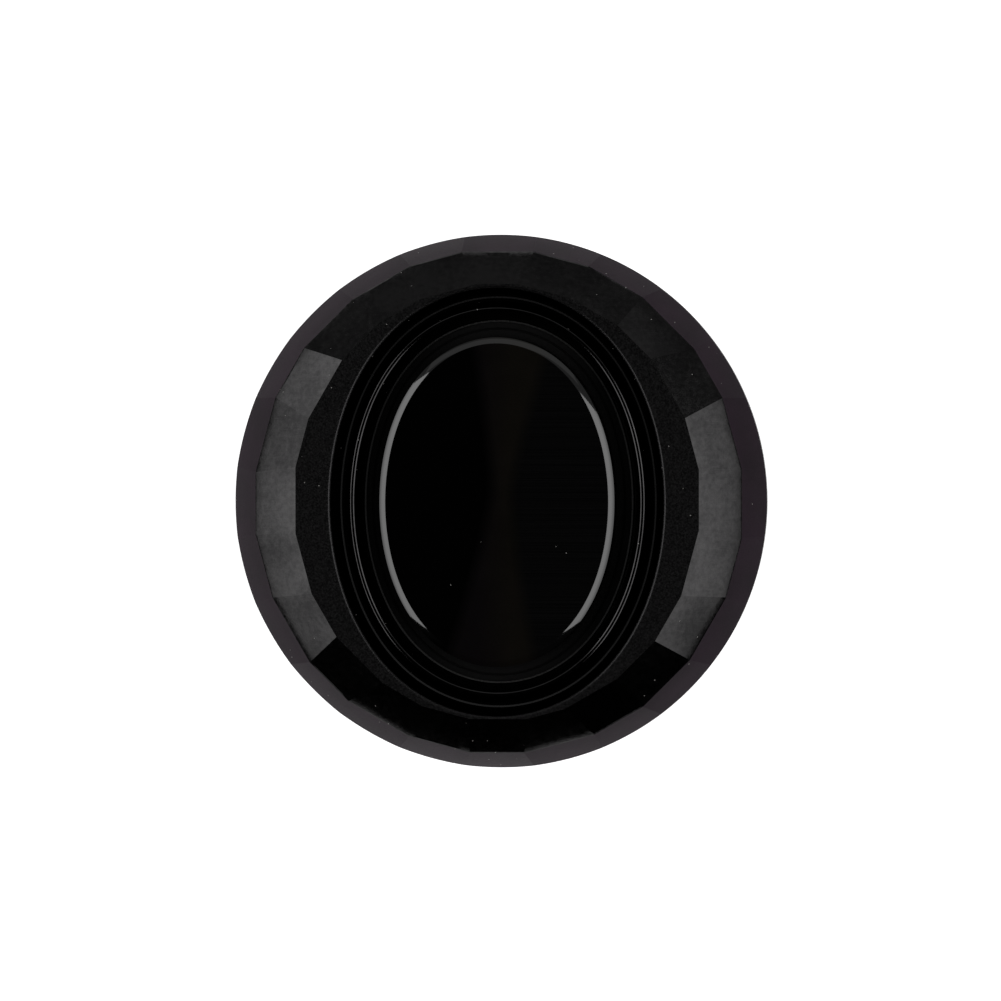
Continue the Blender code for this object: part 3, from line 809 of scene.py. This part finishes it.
def flat_ring(name, node, outer, inner, low_z, high_z, material, body):
    """A washer or gasket that fills its seam, with broken edges."""
    edge = 0.06
    low_z, high_z = low_z + SEAM, high_z - SEAM
    rings = [
        circle(outer - edge, high_z),
        circle(outer, high_z - edge),
        circle(outer, low_z + edge),
        circle(outer - edge, low_z),
        circle(inner, low_z),
        circle(inner, high_z),
    ]
    obj = skin(name, rings, [material], body, node)
    sharpen(obj, TURNED_SHARP)


def make_back_plate():
    front_edge, back_edge, bore = 0.25, 0.6, 6.3
    rings = [
        circle(BODY_RADIUS - front_edge, PLATE_HIGH.z),
        circle(BODY_RADIUS, PLATE_HIGH.z - front_edge),
        circle(BODY_RADIUS, back_edge),
        circle(BODY_RADIUS - back_edge, 0.0),
        circle(bore, 0.0),
        circle(bore, PLATE_HIGH.z),
    ]
    plate = skin("rear_plate", rings, [SATIN], "canister_body", "back_plate")
    sharpen(plate, TURNED_SHARP)
    bore_screw_holes(plate)


def bore_screw_holes(plate):
    """Counterbores for the four back screws, cut through the plate."""
    past = 1.0
    head = (1.9, -past, 1.5)
    shank = (1.1, 1.0, PLATE_HIGH.z + past)
    for index in range(1, 5):
        low, high = (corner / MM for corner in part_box(f"back_screw_{index}"))
        middle = (low + high) / 2.0
        bm = bmesh.new()
        for radius, bottom, top in (head, shank):
            place = Matrix.Translation(Vector((middle.x, middle.y, (bottom + top) / 2.0)) * MM)
            bmesh.ops.create_cone(bm, cap_ends=True, segments=32, radius1=radius * MM,
                                  radius2=radius * MM, depth=(top - bottom) * MM, matrix=place)
        mesh = bpy.data.meshes.new(f"screw_bore_{index}")
        bm.to_mesh(mesh)
        bm.free()
        cutter = bpy.data.objects.new(f"screw_bore_{index}", mesh)
        bpy.context.scene.collection.objects.link(cutter)
        bpy.context.view_layer.update()
        modifier = plate.modifiers.new("bore", "BOOLEAN")
        modifier.object = cutter
        modifier.solver = "EXACT"
        modifier.use_self = True
        graph = bpy.context.evaluated_depsgraph_get()
        cut = bpy.data.meshes.new_from_object(plate.evaluated_get(graph))
        plate.modifiers.clear()
        plate.data = cut
        bpy.data.objects.remove(cutter)


# ---------------------------------------------------------------- studio
def make_floor():
    half_width = 6.0
    mesh = bpy.data.meshes.new("studio_floor")
    bm = bmesh.new()
    bmesh.ops.create_grid(bm, x_segments=2, y_segments=2, size=half_width)
    bm.to_mesh(mesh)
    bm.free()
    floor = bpy.data.objects.new("studio_floor", mesh)
    bpy.context.scene.collection.objects.link(floor)
    material, tree, shader = new_material("floor_pale")
    cloud = noise(tree, 60.0, 3.0)
    coloured = blend(tree, cloud, (0.78, 0.78, 0.78), (0.80, 0.80, 0.80))
    tree.links.new(coloured, shader.inputs["Base Color"])
    shader.inputs["Roughness"].default_value = 0.9
    shader.inputs["Specular IOR Level"].default_value = 0.0
    shader.inputs["Emission Color"].default_value = (1.0, 1.0, 1.0, 1.0)
    shader.inputs["Emission Strength"].default_value = FLOOR_GLOW
    mesh.materials.append(material)


def make_softbox(name, azimuth, elevation, width, height, radiance, full):
    """An area light that faces the object; radiance is what its face shows.

    full is the share of the height over which it brightens from its dim lower edge.
    """
    light = bpy.data.lights.new(name, "AREA")
    light.shape = "RECTANGLE"
    light.size = width
    light.size_y = height
    light.energy = radiance * math.pi * width * height
    light.use_nodes = True
    tree = light.node_tree
    place = add_node(tree, "ShaderNodeSeparateXYZ",
                     {"Vector": tree.nodes.new("ShaderNodeNewGeometry").outputs["Parametric"]})
    level = ramp(tree, place.outputs["Y"], 0.0, full, SOFTBOX_FOOT, 1.0)
    tree.links.new(level, tree.nodes["Emission"].inputs["Strength"])
    obj = bpy.data.objects.new(name, light)
    a, e = math.radians(azimuth), math.radians(elevation)
    towards = Vector((math.cos(a) * math.cos(e), math.sin(a) * math.cos(e), math.sin(e)))
    obj.location = Vector((0.0, 0.0, TOP_Z * MM)) + towards * SOFTBOX_DISTANCE
    obj.rotation_mode = "QUATERNION"
    obj.rotation_quaternion = towards.to_track_quat("Z", "Y")
    obj.visible_camera = False
    bpy.context.scene.collection.objects.link(obj)


def ramp(tree, value, start, end, low, high):
    """A smooth change from low at start to high at end."""
    node = add_node(tree, "ShaderNodeMapRange", {
        "Value": value,
        "From Min": start,
        "From Max": end,
        "To Min": low,
        "To Max": high,
    }, interpolation_type="SMOOTHSTEP")
    return node.outputs["Result"]


def make_world():
    """Pale at the horizon; a dim wall on the +Y side, darkness on the other and overhead."""
    world = bpy.data.worlds.new("studio")
    bpy.context.scene.world = world
    world.use_nodes = True
    tree = world.node_tree
    source = tree.nodes.new("ShaderNodeTexCoord")
    split = add_node(tree, "ShaderNodeSeparateXYZ", {"Vector": source.outputs["Generated"]})
    height = split.outputs["Z"]
    wall = ramp(tree, split.outputs["Y"], *WALL_SPAN, WALL_DARK, WALL_DIM)
    overhead = ramp(tree, height, *OVERHEAD_SPAN, 1.0, OVERHEAD_DIM)
    dim = math_node(tree, "MULTIPLY", wall, overhead)
    horizon = ramp(tree, height, *HORIZON_SPAN, 1.0, 0.0)
    background = tree.nodes["Background"]
    background.inputs["Color"].default_value = (1.0, 1.0, 1.0, 1.0)
    tree.links.new(math_node(tree, "ADD", dim, horizon), background.inputs["Strength"])


def make_camera():
    """Overhead view, leaning a little towards +X and +Y, as the photograph is taken."""
    distance = 500.0
    rim_z = TOP_Z - RIM_DEPTH
    target = Vector((VIEW_X, VIEW_Y, rim_z))
    back = Vector((CAMERA_LEAN_X, CAMERA_LEAN_Y, 1.0)).normalized()
    data = bpy.data.cameras.new("camera")
    data.sensor_width = 36.0
    data.lens = data.sensor_width * distance / VIEW_WIDTH
    data.clip_start = 0.01
    data.clip_end = 20.0
    camera = bpy.data.objects.new("camera", data)
    camera.location = (target + back * distance) * MM
    right = Vector((0.0, 1.0, 0.0)).cross(back).normalized()
    up = back.cross(right)
    turn = Matrix((right, up, back)).transposed().to_4x4()
    camera.matrix_world = Matrix.Translation(camera.location) @ turn
    bpy.context.scene.collection.objects.link(camera)
    bpy.context.scene.camera = camera


CAMERA_LEAN_X = 0.067   # how far the camera stands aside for each unit of its height
CAMERA_LEAN_Y = 0.018
VIEW_X = -0.007         # the middle of the frame, on the rim's plane
VIEW_Y = 0.058
VIEW_WIDTH = 78.90      # what the frame spans at the rim's height
FLOOR_GLOW = 0.94
WALL_DARK = 0.002
WALL_DIM = 0.16
WALL_SPAN = (-0.75, 0.35)       # parts of the unit direction over which each ramp runs
OVERHEAD_SPAN = (0.94, 0.985)
OVERHEAD_DIM = 0.03
HORIZON_SPAN = (0.03, 0.08)
SOFTBOX_DISTANCE = 0.60
SOFTBOX_FOOT = 0.40     # how bright a softbox is at its lower edge

paint_cad_nodes()
make_cap()
make_window()
make_bezel()
make_seal()
make_canister()
make_o_ring()
flat_ring("washer_ring", "slip_washer", outer=19.2, inner=17.9, low_z=SHOULDER_Z, high_z=SKIRT_Z,
          material=ACETAL, body="slip_ring")
flat_ring("gasket_ring", "back_gasket", outer=18.9, inner=15.0, low_z=PLATE_HIGH.z,
          high_z=CANISTER_LOW.z, material=RUBBER, body="canister_body")
make_back_plate()
make_floor()
make_world()
make_softbox("softbox_left", azimuth=180.0, elevation=28.5, width=0.76, height=0.39,
             radiance=2.0, full=0.52)
make_softbox("softbox_right", azimuth=-8.0, elevation=36.0, width=0.70, height=0.39,
             radiance=2.05, full=0.54)
make_softbox("card_far", azimuth=90.0, elevation=34.0, width=1.10, height=0.23,
             radiance=0.17, full=0.1)
make_camera()
bpy.context.scene.view_settings.view_transform = "Standard"
